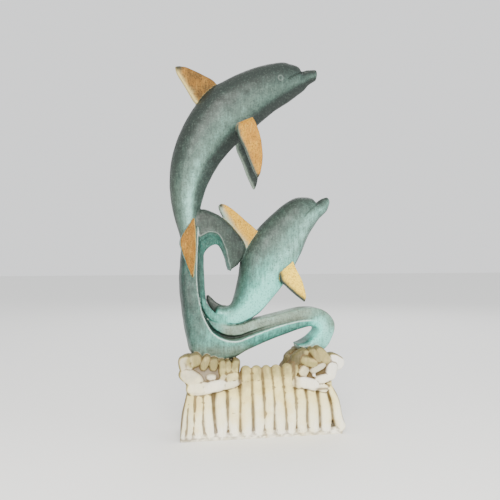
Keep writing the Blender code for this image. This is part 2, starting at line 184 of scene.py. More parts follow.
# Stations down the wave and the arch: outer x, z, ridge x, z, inner x, z, and how far the ridge, the
# groove inside it, the shoulder and the inner edge stand forward, as shares of half the depth.
WAVE = [
    (-98, 268, -81, 270, -72, 248, 0.62, 0.56, 0.44, 0.08),
    (-103, 205, -84, 206, -71, 206, 0.78, 0.66, 0.48, 0.08),
    (-100, 164, -79, 166, -68, 168, 0.94, 0.50, 0.40, 0.30),
    (-94, 128, -69, 141, -55, 148, 1.02, 0.36, 0.60, 0.56),
    (-85, 103, -59, 130, -44, 143, 1.06, 0.34, 0.70, 0.62),
    (-58, 97, -46, 124, -34, 142, 1.06, 0.34, 0.72, 0.62),
    (-34, 101, -31, 123, -22, 144, 1.06, 0.40, 0.74, 0.62),
    (-17, 110, -15, 128, -8, 149, 1.02, 0.54, 0.74, 0.62),
    (16, 123, 15, 138, 16, 154, 0.94, 0.72, 0.76, 0.62),
    (49, 134, 44, 145, 46, 161, 0.88, 0.78, 0.78, 0.62),
    (68, 139, 65, 147, 72, 164, 0.84, 0.80, 0.80, 0.66),
    (76, 137, 78, 144, 90, 158, 0.80, 0.80, 0.82, 0.72),
    (78, 133, 82, 136, 101, 143, 0.84, 0.86, 0.88, 0.78),
    (75, 129, 79, 127, 98, 126, 0.88, 0.90, 0.90, 0.78),
    (68, 123, 71, 119, 88, 110, 0.88, 0.90, 0.90, 0.78),
    (58, 118, 61, 114, 69, 103, 0.82, 0.84, 0.82, 0.72),
    (51, 116, 52, 114, 54, 109, 0.62, 0.62, 0.60, 0.56),
]
ARCH = [
    (-90, 278, -82, 256, -73, 228, 1.0, 0.86, 0.62, 0.06),
    (-78, 292, -77, 259, -69, 239, 1.0, 0.86, 0.62, 0.06),
    (-63, 290, -66, 264, -60, 246, 1.0, 0.86, 0.62, 0.06),
    (-47, 281, -54, 260, -52, 245, 1.0, 0.86, 0.62, 0.06),
    (-30, 264, -46, 244, -44, 229, 1.0, 0.86, 0.68, 0.20),
    (-17, 243, -42, 227, -40, 216, 0.9, 0.84, 0.72, 0.40),
    (-27, 221, -39, 214, -37, 208, 0.8, 0.76, 0.68, 0.50),
]

# The fingers of root along the front: top x, z, middle x, bottom x, and their widths there.
FRONT_FINGERS = [
    (-97, 58, -101, -104, 5.5, 6.5, 7.5),
    (-92, 63, -94, -96, 9.0, 10.4, 9.6),
    (-84, 61, -84, -84, 11.0, 13.0, 17.4),
    (-73, 64, -72, -69, 12.0, 14.0, 15.0),
    (-55, 64, -55, -54, 16.0, 17.8, 17.4),
    (-39, 70, -38, -37, 16.2, 17.0, 16.4),
    (-22, 92, -22, -21, 14.6, 17.4, 16.6),
    (-8, 92, -5, -5, 13.8, 15.2, 16.2),
    (5, 92, 9, 9, 12.8, 13.8, 13.8),
    (18, 92, 23, 24, 14.2, 16.4, 16.6),
    (33, 93, 38, 38, 15.0, 15.6, 14.2),
    (50, 63, 52, 53, 14.0, 15.4, 16.4),
    (65, 63, 68, 69, 13.8, 16.6, 17.6),
    (81, 58, 85, 86, 12.8, 16.4, 17.0),
    (91, 63, 100, 107, 8.8, 13.0, 15.4),
]
# Knuckle rings on the front fingers: finger number, height, and depth of the ring.
KNUCKLES = [
    (4, 48, 0.7), (5, 40, 0.5), (6, 60, 0.6), (6, 34, 0.4), (7, 82, 0.9), (7, 73, 1.0), (7, 55, 0.5),
    (8, 74, 0.9), (8, 56, 0.6), (9, 76, 0.8), (9, 62, 0.8), (10, 78, 0.9), (10, 74, 0.6), (10, 64, 0.9),
    (11, 62, 0.8), (11, 56, 0.5), (12, 42, 0.5), (13, 48, 0.5), (14, 36, 0.4), (15, 56, 0.7),
]
SIDE_FINGER_COUNT = 5
# How far the fingers' feet stay off the floor, and how wide the brown line of painted shade round each foot
# is.
FOOT_GAP = 2.2
FOOT_LINE = 1.4
# How high the fingers may reach along the front (-1) and along the back (1).
FINGER_TOPS = {-1: BASE_HEIGHT + 6, 1: BACK_HEIGHT - 3}
# Half the length and half the depth of the block behind the fingers, and of the plinth.
CORE = (93.0, 29.0)
PLINTH = (107.0, 35.0)

# The roots round the outer end of each capital: start x, z, end x, z, radius at both ends, share of the
# half depth, and tint as for the lobes.
CAPITAL_ROOTS = [
    (-99, 97, -96, 86, 9.0, 9.0, 0.30, 0.2),
    (-97, 84, -90, 72, 9.0, 8.0, 0.30, 0.2),
    (-33, 95, -34, 84, 6.0, 6.0, 0.40, 0.4),
    (100, 96, 101, 88, 9.0, 8.0, 0.40, -0.6),
    (95, 84, 90, 68, 8.0, 6.0, 0.35, -0.5),
    # Under the wave's right foot: olive brown wood, partly painted shade.
    (50, 98, 46, 86, 7.0, 6.0, 0.40, 1.0),
]
# The carved lobes on the face of each capital: middle x, z, half length, half width, tilt in degrees, how
# pointed the far end is, how far forward the face stands, and tint from bleached (-1) to olive brown (1).
LOBES = [
    (-100, 97, 9, 10.5, 10, 0, 36.5, -0.3),
    (-89, 101, 9, 8, 20, 0, 36, 0.23),
    (-93, 80, 16, 9.6, -32, 0.2, 37, -0.32),
    (-75, 98, 9.5, 4.6, 68, 0, 37, 0.33),
    (-64, 96, 7.9, 4.9, 82, 0, 37.5, 0.38),
    (-53, 91, 9.9, 4.1, 90, 0, 36.5, 0.18),
    (-45, 91, 9, 3.3, 90, 0, 35, 0.18),
    (-36, 91, 9.6, 4.8, 78, 0, 35.5, 0.13),
    (-67, 79, 6.3, 3.7, 0, 0, 33.5, -0.42),
    (-52, 79, 4.9, 3.5, 60, 0, 36.5, -0.12),
    (-40, 79, 8.4, 5.4, 10, 0, 37.5, -0.07),
    (-83, 66, 15.6, 8.2, 0, 0, 37.5, -0.42),
    (-63, 68, 15.6, 7, 12, 0, 38.5, -0.62),
    (-43, 70, 13.3, 5.2, 12, 0.2, 37.7, -0.42),
    (80, 102, 12.9, 7.8, -50, 0.2, 37, 0.13),
    (98, 94, 12, 9.4, -32, 0, 36, -0.8),
    (70, 103, 10.6, 5, -58, 0.8, 37.5, 0.38),
    (58, 107, 3.4, 3, 90, 0, 33.5, -0.02),
    # These two lie under the wave's right foot: olive brown wood, partly painted shade.
    (52, 101, 12, 7.8, 32, 0, 33, 1),
    (42, 91, 11, 4.8, 44, 0, 32.5, 1),
    (62, 95, 10.9, 6.4, -22, 0.3, 38, 0.03),
    (73, 87, 10.6, 4.4, 24, 0.2, 38, -0.32),
    (91, 82, 11.4, 7, 80, 0, 38.5, -0.75),
    (80, 73, 10.2, 5.4, 12, 0, 38.5, -0.62),
    (43, 84, 7.2, 3.7, 76, 0, 34.5, 0.18),
    (55, 83, 7.2, 6.1, 60, 0, 35.5, -0.22),
    (68, 78, 2.4, 2.1, 90, 0, 35, -0.92),
    (46, 69, 7.4, 6.8, -20, 0, 37.5, -0.22),
    (61, 67, 16.4, 7.1, -14, 0, 38.5, -0.72),
    (77, 62, 10.2, 5.2, -20, 0, 37.9, -0.42),
    (89, 65, 7.4, 4.4, 90, 0, 33.5, 0.08),
]
# How far a lobe's edge rolls over, and how much wider each is carved than its row says.
LOBE_ROLL = 5.0
LOBE_SPREAD = 1.07
# The solid wood behind each capital's roots: outline x, z, and tint.
HEART_DEPTH = 29.5
HEARTS = [
    ([(-101, 72), (-94, 62), (-36, 64), (-31, 84), (-38, 93), (-56, 102), (-88, 105), (-101, 102)], -0.8),
    ([(46, 64), (92, 60), (94, 72), (103, 84), (103, 95), (86, 106), (60, 106), (50, 98), (44, 84)], 0.0),
]
# On the back the roots and lobes lie lower, some lobes lie further right, and the finest are left out.
BACK_ROOT_DROP = 6
BACK_ROOT_SHIFT = 8
FINE_LOBE = 4.0

# Lines cut or raised on both faces: points x, z, then the depth (below 0 it stands up) and half width.
MOUTH_LINES = [
    ([(38, 464), (44, 468), (49, 471), (56, 474), (62, 476), (69, 477), (76, 478)], 1.8, 1.0),
    ([(38, 468), (44, 472), (49, 475)], -0.4, 1.3),
    ([(60, 284), (63, 288), (70, 294), (78, 300), (88, 307), (93, 309)], 1.4, 0.9),
    ([(60, 289), (66, 296), (70, 300)], -0.4, 1.3),
]
EYES = [(26, 464, 3.3, 0.35), (49, 290, 2.2, 0.10)]
EYE_RING = 0.6

# The fins and their finish: how far the far one of a pair is shifted and dropped, how pale the ochre is,
# how wide the trailing rim is left unstained, how green that rim is, how dark the edges are painted, and
# how far down from the tip the wood is dark. The dark edges of the pectorals and the upper dorsal are partly
# painted shade on the fins' thickness.
FINS = [
    ("upper dorsal", UPPER_DORSAL_FIN, 0, 0, 0.03, 2.2, 0.0, 0.6, 6.0),
    ("lower dorsal", LOWER_DORSAL_FIN, 0, 0, 0.42, 4.6, 0.5, 0.25, 3.0),
    ("upper pectoral", UPPER_PECTORAL, UPPER_FAR_SHIFT, UPPER_FAR_DROP, 0.30, 1.5, 0.9, 0.95, 3.0),
    ("lower pectoral", LOWER_PECTORAL, LOWER_FAR_SHIFT, 0, 1.00, 3.0, 1.0, 0.85, 1.0),
    ("upper fluke", UPPER_FLUKE, FLUKE_FAR_SHIFT, 0, 0.13, 0.5, 0.0, 0.3, 1.0),
]
# What shows along a fin's rim, by its greenness: bare cream wood, thin grey-green paint, dark paint.
RIM_COLOURS = [(0.0, "#c0ae6e"), (0.5, "#87988a"), (1.0, "#2b3730")]
# The most green that the rim of a far fin has.
FAR_GREEN = 0.5

PAINTED = ["upper body", "lower body", "wave", "arch", "lower fluke"]
# How dark the paint is across each form, from its belly or outer edge (-1) to its back or inner edge (1). The
# dark backs and belly chamfers are partly darker paint and partly painted shade, and the dark band just
# inside the wave's ridge is painted shadow.
SHADES = {
    "upper body": ((-1, -0.75, -0.66, -0.3, 0.1, 0.5, 1), (0.95, 0.9, 0.4, 0.2, 0.36, 0.72, 0.95)),
    "lower body": ((-1, -0.72, -0.25, 0.05, 0.4, 0.7, 1), (0.46, 0.26, 0.14, 0.32, 0.58, 0.74, 0.88)),
    "wave": ((-1, -0.6, -0.15, -0.03, 0.04, 0.14, 0.6, 1), (0.6, 0.42, 0.3, 0.12, 0.2, 0.56, 0.2, 0.16)),
    "arch": ((-1, -0.3, 0, 0.05, 1), (0.9, 0.8, 0.7, 0.54, 0.44)),
}
# The paint's colours from light to dark: grey-green, sea green, and worn thin over brown wood.
PAINT_COLOURS = [
    [(0.0, "#86aaa0"), (0.2, "#64796f"), (0.42, "#4a5b52"), (0.68, "#2b3832"), (1.0, "#111a16")],
    [(0.0, "#72d4c6"), (0.2, "#4ba798"), (0.42, "#2f6b60"), (0.7, "#234840"), (1.0, "#142a25")],
    [(0.0, "#808a74"), (0.4, "#66705e"), (0.75, "#3a4034"), (1.0, "#1d2119")],
]
# The ochre stain from dark to pale, and the bare root wood from the foot to the top.
STAIN_COLOURS = [(0.0, "#553b0a"), (0.12, "#83570c"), (0.3, "#a8741c"), (0.45, "#bd9020"), (1.0, "#f3cc3c")]
WOOD_COLOURS = [(0.0, "#f9f5e2"), (0.3, "#f8f1c6"), (0.64, "#ecdc96"), (0.88, "#bcae70"), (1.0, "#948954")]


def spline(rows, steps):
    """Rows of numbers carried smoothly through the given rows, with steps rows for each gap."""
    out = []
    last = len(rows) - 1
    for i in range(last):
        before = rows[max(i - 1, 0)]
        here, there = rows[i], rows[i + 1]
        after = rows[min(i + 2, last)]
        for k in range(steps):
            t = k / steps
            out.append([
                0.5 * (2 * b + (c - a) * t + (2 * a - 5 * b + 4 * c - d) * t ** 2
                       + (3 * b - a - 3 * c + d) * t ** 3)
                for a, b, c, d in zip(before, here, there, after)
            ])
    out.append(list(rows[last]))
    return out


def power(value, exponent):
    return math.copysign(abs(value) ** exponent, value)


def new_form():
    """A raw form: its mesh, and for each face how far across the form it lies."""
    return {"mesh": bmesh.new(), "marks": []}


def add_loft(form, rings, marks):
    """A closed skin over rings of equal length; marks says how far across each ring point lies."""
    bm = form["mesh"]
    rows = [[bm.verts.new(point * MM) for point in ring] for ring in rings]
    count = len(marks)
    for low, high in zip(rows, rows[1:]):
        for k in range(count):
            n = (k + 1) % count
            bm.faces.new((low[k], low[n], high[n], high[k]))
            form["marks"].append((marks[k] + marks[n]) / 2)
    bm.faces.new(list(reversed(rows[0])))
    bm.faces.new(rows[-1])
    form["marks"] += [sum(marks) / count] * 2


def round_end(ring, following, reach, steps=5):
    """Rings that close a loft with a soft end beyond its last ring, which following comes before."""
    centre = sum(ring, Vector()) / len(ring)
    inner = sum(following, Vector()) / len(following)
    outward = (centre - inner).normalized() * reach
    extra = []
    for k in range(1, steps + 1):
        angle = math.radians(84) * k / steps
        extra.append([
            centre + outward * math.sin(angle) + (point - centre) * math.cos(angle) for point in ring
        ])
    return extra


def add_body(form, rows, thickness, around=56, steps=8):
    """A dolphin's body: rounded along the back, with a chamfer on both sides of the belly."""
    turns = []
    for k in range(around):
        c, s = math.cos(2 * math.pi * k / around), math.sin(2 * math.pi * k / around)
        bend = 2 / (BACK_POWER + BELLY_POWER * (1 - c))
        turns.append((power(c, bend), power(s, bend)))
    rings = []
    for row in spline(rows, steps):
        back, belly = Vector((row[0], 0, row[1])), Vector((row[2], 0, row[3]))
        centre, across = (back + belly) / 2, (back - belly) / 2
        half = row[4] * thickness / 2
        crease = max(1 - row[5] / across.length, LEAST_CREASE)
        full = (1 - crease ** CREASE_POWER) ** (1 / CREASE_POWER)
        ring = []
        for u, v in turns:
            if BELLY_MARK < u < 0:
                u = -crease * u / BELLY_MARK
            elif u <= BELLY_MARK:
                u = -1 + (1 - crease) * (u + 1) / (1 + BELLY_MARK)
            if u < -crease:
                slope = (-u - crease) / (1 - crease)
                v = math.copysign(min(abs(v), full * (1 - slope) + BELLY_FLAT * slope), v)
            ring.append(centre + across * u + Vector((0.0, half * v, 0.0)))
        rings.append(ring)
    head = round_end(rings[0], rings[1], (rings[0][0] - rings[0][around // 2]).length * BEAK_ROUNDING)
    tail = round_end(rings[-1], rings[-2], (rings[-1][0] - rings[-1][around // 2]).length * TAIL_ROUNDING)
    add_loft(form, list(reversed(head)) + rings + tail, [u for u, v in turns])


def add_fin(form, rows, spread, side=1, shift=0, drop=0, steps=8):
    """A flat fin with two faces and a square edge all round."""
    rings = []
    marks = [-1, 0, 1, 1, 1, 0, -1, -1, 0, 1, 1, 1, 0, -1]
    for row in spline(rows, steps):
        lead = Vector((row[0] + shift, side * row[4] * spread / 2, row[1] - drop))
        trail = Vector((row[2] + shift, side * row[4] * spread / 2, row[3] - drop))
        half = row[5] * FIN_THICKNESS / 2
        bevel = min(FIN_BEVEL / max((trail - lead).length, 1.0), 0.3)
        shares = [(bevel * s, h) for s, h in FIN_EDGE] + [(0.5, 1.0)]
        shares += [(1 - bevel * s, h) for s, h in reversed(FIN_EDGE)]
        front = [lead.lerp(trail, s) + Vector((0, -half * h, 0)) for s, h in shares]
        back = [lead.lerp(trail, s) + Vector((0, half * h, 0)) for s, h in reversed(shares)]
        rings.append(front + back)
    head = round_end(rings[0], rings[1], FIN_ROUNDING)
    tail = round_end(rings[-1], rings[-2], FIN_ROUNDING)
    add_loft(form, list(reversed(head)) + rings + tail, marks)


def add_ribbon(form, rows, depth, back, steps=8):
    """A band with a proud front ridge and a groove inside it: the wave and the arch."""
    half = depth / 2
    rings = []
    marks = [-1.0, -0.94, -0.8, -0.5, -0.2, 0.0, 0.05, 0.1, 0.15, 0.25, 0.37, 0.65, 0.95, 1.0,
             1.0, 0.95, 0.65, 0.37, 0.1, 0.0, -0.5, -0.94, -1.0]
    for row in spline(rows, steps):
        outer, ridge, inner = Vector(row[0:2]), Vector(row[2:4]), Vector(row[4:6])
        proud, groove, shoulder, lip = (value * half for value in row[6:10])
        edge = lip + (shoulder - lip) * 0.08
        front = [0.52 * proud, 0.74 * proud, 0.88 * proud, 0.96 * proud, 0.97 * proud, 1.03 * proud,
                 proud, 0.5 * (proud + groove), groove, 0.8 * groove + 0.2 * shoulder,
                 shoulder, 0.55 * shoulder + 0.45 * lip, edge, 0.86 * lip]
        rear = [0.86 * lip, edge, 0.55 * shoulder + 0.45 * lip, shoulder, 0.80 * proud, 0.86 * proud,
                0.90 * proud, 0.72 * proud, 0.50 * proud]
        ring = []
        for n, (mark, y) in enumerate(zip(marks, front + rear)):
            spot = outer.lerp(ridge, 1 + mark) if mark < 0 else ridge.lerp(inner, mark)
            ring.append(Vector((spot.x, -y if n < len(front) else back * y, spot.y)))
        rings.append(ring)
    add_loft(form, rings, marks)


def add_root(form, path, around=18, steps=6, tint=0.0):
    """A finger of root, round at both ends; the path's rows are x, y, z and radius."""
    rows = spline(path, steps)
    spine = [Vector(row[0:3]) for row in rows]
    widths = [row[3] for row in rows]
    profile = [(math.cos(math.radians(a)), math.sin(math.radians(a))) for a in (8, 24, 40, 56, 74)]
    first_way = (spine[1] - spine[0]).normalized()
    last_way = (spine[-1] - spine[-2]).normalized()
    head = [(spine[0] - first_way * widths[0] * c, widths[0] * s) for c, s in profile]
    tail = [(spine[-1] + last_way * widths[-1] * c, widths[-1] * s) for c, s in reversed(profile)]
    line = head + list(zip(spine, widths)) + tail
    skin = []
    normal = first_way.orthogonal().normalized()
    for n, (centre, width) in enumerate(line):
        way = (line[min(n + 1, len(line) - 1)][0] - line[max(n - 1, 0)][0]).normalized()
        normal = (normal - way * normal.dot(way)).normalized()
        across = way.cross(normal)
        skin.append([
            centre + (normal * math.cos(a) + across * math.sin(a)) * width
            for a in (2 * math.pi * k / around for k in range(around))
        ])
    add_loft(form, skin, [tint] * around)


def tapered(x, y):
    """Where x lies at depth y on a block whose ends draw in towards the back."""
    return x * (1 - 2 * BACK_TAPER / BASE_LENGTH * (0.5 + y / BASE_DEPTH))


def add_block(form, half_length, half_depth, bottom, top, top_depth=1.0):
    """A plain block whose ends draw in towards the back; its top may be less deep than its foot."""
    rings = []
    for z, share in ((bottom, 1.0), (0.6 * top, 1.0), (top, top_depth)):
        corners = [(-1, -1), (1, -1), (1, 1), (-1, 1)]
        rings.append([
            Vector((tapered(a * half_length, b * half_depth * share), b * half_depth * share, z))
            for a, b in corners
        ])
    add_loft(form, rings, [0.0] * 4)


def add_slab(form, outline, half_depth, tint):
    """A flat block with the given outline, standing half_depth to the front and to the back."""
    ring = [Vector((x, 0.0, z)) for x, z in outline]
    add_loft(form, [
        [Vector((tapered(p.x, y), y, p.z - BACK_ROOT_DROP * (y > 0))) for p in ring]
        for y in (-half_depth, half_depth)
    ], [tint] * len(ring))


def finger_spots(number, high):
    """Spots of x, z and width up the numbered front finger, whose top is no higher than high."""
    top_x, top_z, x, foot_x, top_wide, wide, foot_wide = FRONT_FINGERS[number]
    sway, top = 0.9 * math.sin(2.1 * number), min(top_z, high)
    return [
        (foot_x, foot_wide * 0.42 + FOOT_GAP, foot_wide),
        ((foot_x + x) / 2 + sway, 19, (wide + foot_wide) / 2 + 0.3),
        (x, 34, wide),
        (x * 0.6 + top_x * 0.4 - sway, top * 0.45 + 18, wide * 0.5 + top_wide * 0.5 + 0.3),
        (top_x, top - top_wide * 0.45, top_wide),
    ]


def finger(form, spots, y, taper=0.84):
    """An upright finger through spots of x, z and width, from its foot up; its face stays in line."""
    face = math.copysign(BASE_DEPTH / 2, y)
    path = []
    for n, (x, z, width) in enumerate(spots):
        radius = width / 2 * (taper if n == 0 else 1.0)
        depth = face - math.copysign(radius, y) if abs(y) > 20 else y
        path.append((tapered(x, depth), depth, z, radius))
    add_root(form, path, around=20, steps=10)


def add_base(form):
    """The block of root wood: fingers all round a core, and the two knotted capitals."""
    for n in range(len(FRONT_FINGERS)):
        for side, high in FINGER_TOPS.items():
            finger(form, finger_spots(n, high), side * BASE_DEPTH / 2)
    pitch = BASE_LENGTH / len(FRONT_FINGERS)
    reach = BASE_LENGTH / 2 - pitch / 2
    for side in (-1, 1):
        for k in range(1, SIDE_FINGER_COUNT - 1):
            y = (BASE_DEPTH / 2 - pitch / 2) * (2 * k / (SIDE_FINGER_COUNT - 1) - 1)
            wide = pitch * (1.0 + 0.06 * math.sin(5 * k + side))
            finger(form, [
                (side * reach, wide * 0.42 + FOOT_GAP, wide),
                (side * (reach - 3), 26, wide * 1.04),
                (side * (reach - 11), 60 + 3 * math.sin(4 * k + side), wide * 0.86),
            ], y)
    add_block(form, *CORE, 2.0, BACK_HEIGHT * 0.95)
    add_block(form, *PLINTH, -CUT_ALLOWANCE, PLINTH_HEIGHT, 0.96)
    for outline, tint in HEARTS:
        add_slab(form, outline, HEART_DEPTH, tint)
    for side in (-1, 1):
        for x, z, x2, z2, radius, radius2, share, tint in CAPITAL_ROOTS:
            y = side * share * BASE_DEPTH / 2
            drop = BACK_ROOT_DROP * (side > 0)
            start = Vector((tapered(x, y), y, z - drop))
            end = Vector((tapered(x2, y), y, z2 - drop))
            middle = (start + end) / 2
            add_root(form, [(*start, radius), (*middle, (radius + radius2) / 2), (*end, radius2)], tint=tint)
        for lobe in LOBES:
            if side < 0 or lobe[3] > FINE_LOBE:
                add_lobe(form, lobe, side)


def add_lobe(form, lobe, side, around=32):
    """A soft pillow of root with the lobe's outline, proud of the front or the back."""
    x, z, length, width, tilt, point, depth, tint = lobe
    if side > 0:
        x, z = x + BACK_ROOT_SHIFT * (0 < x < 70), z - BACK_ROOT_DROP
    along = Vector((math.cos(math.radians(tilt)), math.sin(math.radians(tilt))))
    roll = min(0.9 * width, LOBE_ROLL)
    rings = []
    for share, back in ((1.0, 14), (1.0, roll), (0.95, 0.55 * roll), (0.84, 0.24 * roll), (0.62, 0.07 * roll),
                        (0.3, 0.0)):
        y = side * (depth - back)
        ring = []
        for k in range(around):
            c, s = math.cos(2 * math.pi * k / around), math.sin(2 * math.pi * k / around)
            u = LOBE_SPREAD * length * power(c, 0.75) * share
            v = LOBE_SPREAD * width * power(s, 0.75) * share * (1 - 0.6 * point * (0.5 + 0.5 * c))
            ring.append(Vector((tapered(x + along.x * u - along.y * v, y), y, z + along.y * u + along.x * v)))
        rings.append(ring)
    add_loft(form, rings, [tint] * around)


def raw_forms():
    """Every form of the carving, before they are fused into one skin."""
    forms = {name: new_form() for name in (*PAINTED, *(fin[0] for fin in FINS), "base")}
    add_body(forms["upper body"], UPPER_DOLPHIN, UPPER_THICKNESS)
    add_body(forms["lower body"], LOWER_DOLPHIN, LOWER_THICKNESS)
    add_ribbon(forms["wave"], WAVE, WAVE_DEPTH, back=0.82)
    add_ribbon(forms["arch"], ARCH, ARCH_DEPTH, back=1.0)
    for side, rows in ((-1, NEAR_FLUKE_LOBE), (1, FAR_FLUKE_LOBE)):
        add_fin(forms["lower fluke"], rows, WAVE_DEPTH, side)
    for name, rows, far_shift, far_drop, *_ in FINS:
        spread = WAVE_DEPTH if name == "upper fluke" else PECTORAL_SPREAD
        if "dorsal" in name:
            add_fin(forms[name], rows, spread)
            continue
        for side in (-1, 1):
            add_fin(forms[name], rows, spread, side, far_shift * (side > 0), far_drop * (side > 0))
    add_base(forms["base"])
    for form in forms.values():
        form["mesh"].faces.ensure_lookup_table()
        form["tree"] = BVHTree.FromBMesh(form["mesh"])
    return forms


def evaluated(obj):
    """The object's mesh with its modifiers applied."""
    return bpy.data.meshes.new_from_object(obj.evaluated_get(bpy.context.evaluated_depsgraph_get()))


def points_of(mesh, kind="co"):
    """Every vertex's position or normal as an array."""
    flat = np.empty(len(mesh.vertices) * 3, np.float32)
    if kind == "normal":
        mesh.vertex_normals.foreach_get("vector", flat)
    else:
        mesh.vertices.foreach_get("co", flat)
    return flat.reshape(-1, 3).astype(float)


def move_points(mesh, co):
    """Puts the vertices at the given places."""
    mesh.vertices.foreach_set("co", co.astype(np.float32).ravel())
    mesh.update()


def distance_to_line(points, line):
    """How far each x, z point lies from a line of points."""
    nearest = np.full(len(points), 1e9)
    for start, end in zip(line, line[1:]):
        start, end = np.array(start, float), np.array(end, float)
        along = end - start
        share = np.clip((points - start) @ along / (along @ along), 0, 1)
        nearest = np.minimum(nearest, np.linalg.norm(points - start - share[:, None] * along, axis=1))
    return nearest


def rough_waves(points, size):
    """A slow uneven field, about size millimetres from crest to crest, between -1 and 1."""
    total = np.zeros(len(points))
    for n in range(6):
        way = np.array([math.sin(1.7 * n + 0.4), math.cos(2.3 * n), math.sin(2.9 * n + 1.1)])
        way /= np.linalg.norm(way)
        total += np.sin(points @ way * 2 * math.pi / (size * (0.7 + 0.13 * n)) + 1.9 * n)
    return total / 6


def carve_details(mesh):
    """Cuts the mouths, eyes and knuckles into the skin and leaves the unevenness of hand work."""
    co, normal = points_of(mesh), points_of(mesh, "normal")
    spots = co / MM
    flat = spots[:, [0, 2]]
    facing = np.abs(normal[:, 1]) > 0.25
    lift = 0.28 * rough_waves(spots, 19) + 0.12 * rough_waves(spots[:, ::-1], 8)
    for line, depth, width in MOUTH_LINES:
        lift -= facing * depth * np.exp(-(distance_to_line(flat, line) / width) ** 2)
    for x, z, radius, height in EYES:
        away = np.linalg.norm(flat - (x, z), axis=1)
        lift += facing * height * np.exp(-((away - radius) / EYE_RING) ** 2)
        lift -= facing * height * 0.5 * np.exp(-((away - radius - 2 * EYE_RING) / EYE_RING) ** 2)
    outside = np.abs(spots[:, 1]) > 26
    for number, z, depth in KNUCKLES:
        top_x, top_z, x, foot_x, top_wide, wide, foot_wide = FRONT_FINGERS[number - 1]
        share = min(max((z - 34) / max(top_z - 34, 1), 0), 1)
        middle = x + (top_x - x) * share
        half = wide / 2
        line = [(middle - half, z + 0.8), (middle, z - 0.6), (middle + half, z + 0.6)]
        lift -= outside * 0.35 * depth * np.exp(-(distance_to_line(flat, line) / 1.3) ** 2)
    dish = np.linalg.norm((flat - (-98, 97)) / (9, 8), axis=1)
    lift -= outside * 1.2 * np.exp(-dish ** 2)
    move_points(mesh, co + normal * lift[:, None] * MM)


def soften_roots(mesh, rounds=3):
    """Rounds the clefts of the base over, as worn roots are."""
    co = points_of(mesh)
    soft = np.stack([spread_out(mesh, co[:, k], rounds) for k in range(3)], axis=1)
    share = np.clip((BASE_HEIGHT + 21 - co[:, 2] / MM) / 6, 0, 1)[:, None]
    move_points(mesh, co + (soft - co) * share)


def cut_underside(mesh):
    """Saws the block off flat at height 0."""
    bm = bmesh.new()
    bm.from_mesh(mesh)
    bmesh.ops.bisect_plane(
        bm,
        geom=bm.verts[:] + bm.edges[:] + bm.faces[:],
        dist=0.00005,
        plane_co=(0, 0, 0),
        plane_no=(0, 0, -1),
        clear_outer=True,
    )
    rim = [edge for edge in bm.edges if edge.is_boundary]
    bmesh.ops.holes_fill(bm, edges=rim, sides=0)
    bmesh.ops.triangulate(bm, faces=bm.faces[:])
    bmesh.ops.recalc_face_normals(bm, faces=bm.faces[:])
    bm.to_mesh(mesh)
    bm.free()


def fused_skin(forms):
    """All the forms as one carved skin with its details, light enough to keep."""
    bm = bmesh.new()
    for form in forms.values():
        part = bpy.data.meshes.new("form")
        bmesh.ops.recalc_face_normals(form["mesh"], faces=form["mesh"].faces[:])
        form["mesh"].to_mesh(part)
        bm.from_mesh(part)
        bpy.data.meshes.remove(part)
    mesh = bpy.data.meshes.new("carved_dolphins")
    bm.to_mesh(mesh)
    bm.free()
    carving = bpy.data.objects.new("carved_dolphins", mesh)
    bpy.context.scene.collection.objects.link(carving)
    remesh = carving.modifiers.new("carved skin", "REMESH")
    remesh.mode = "VOXEL"
    remesh.voxel_size = VOXEL * MM
    smooth = carving.modifiers.new("rasped", "SMOOTH")
    smooth.factor = 0.5
    smooth.iterations = 2
    whole = evaluated(carving)
    carving.modifiers.clear()
    carving.data = whole
    soften_roots(whole)
    carve_details(whole)
    decimate = carving.modifiers.new("fewer facets", "DECIMATE")
    decimate.ratio = TRIANGLES / sum(len(face.vertices) - 2 for face in whole.polygons)
    carving.data = evaluated(carving)
    carving.modifiers.clear()
    cut_underside(carving.data)
    carving.data.name = "carved_dolphins"
    return carving


def spread_out(mesh, values, rounds):
    """Values at the vertices, each averaged with its neighbours that many times."""
    ends = np.empty(len(mesh.edges) * 2, np.int64)
    mesh.edges.foreach_get("vertices", ends)
    a, b = ends[0::2], ends[1::2]
    count = len(mesh.vertices)
    degree = np.bincount(a, minlength=count) + np.bincount(b, minlength=count)
    values = np.asarray(values, float)
    for _ in range(rounds):
        near = np.bincount(a, values[b], count) + np.bincount(b, values[a], count)
        values = 0.5 * values + 0.5 * near / np.maximum(degree, 1)
    return values


def shelter_of(mesh, reach=16.0, rays=12):
    """How closed in each vertex is, from 0 in the open to 1 at the bottom of a crevice."""
    co, normal = points_of(mesh), points_of(mesh, "normal")
    polygons = [tuple(face.vertices) for face in mesh.polygons]
    tree = BVHTree.FromPolygons(co.tolist(), polygons)
    side = np.cross(normal, (0.31, 0.57, 0.76))
    side /= np.linalg.norm(side, axis=1)[:, None] + 1e-9
    other = np.cross(normal, side)
    start = (co + normal * 0.25 * MM).tolist()
    total = np.zeros(len(co))
    for n in range(rays):
        tilt = math.radians((24, 48, 66)[n % 3])
        turn = 2.4 * n
        way = (normal * math.cos(tilt) + side * math.sin(tilt) * math.cos(turn)
               + other * math.sin(tilt) * math.sin(turn)).tolist()
        for i, (origin, direction) in enumerate(zip(start, way)):
            distance = tree.ray_cast(origin, direction, reach * MM)[3]
            if distance is not None:
                total[i] += 1 - 0.6 * distance / (reach * MM)
    return total / rays


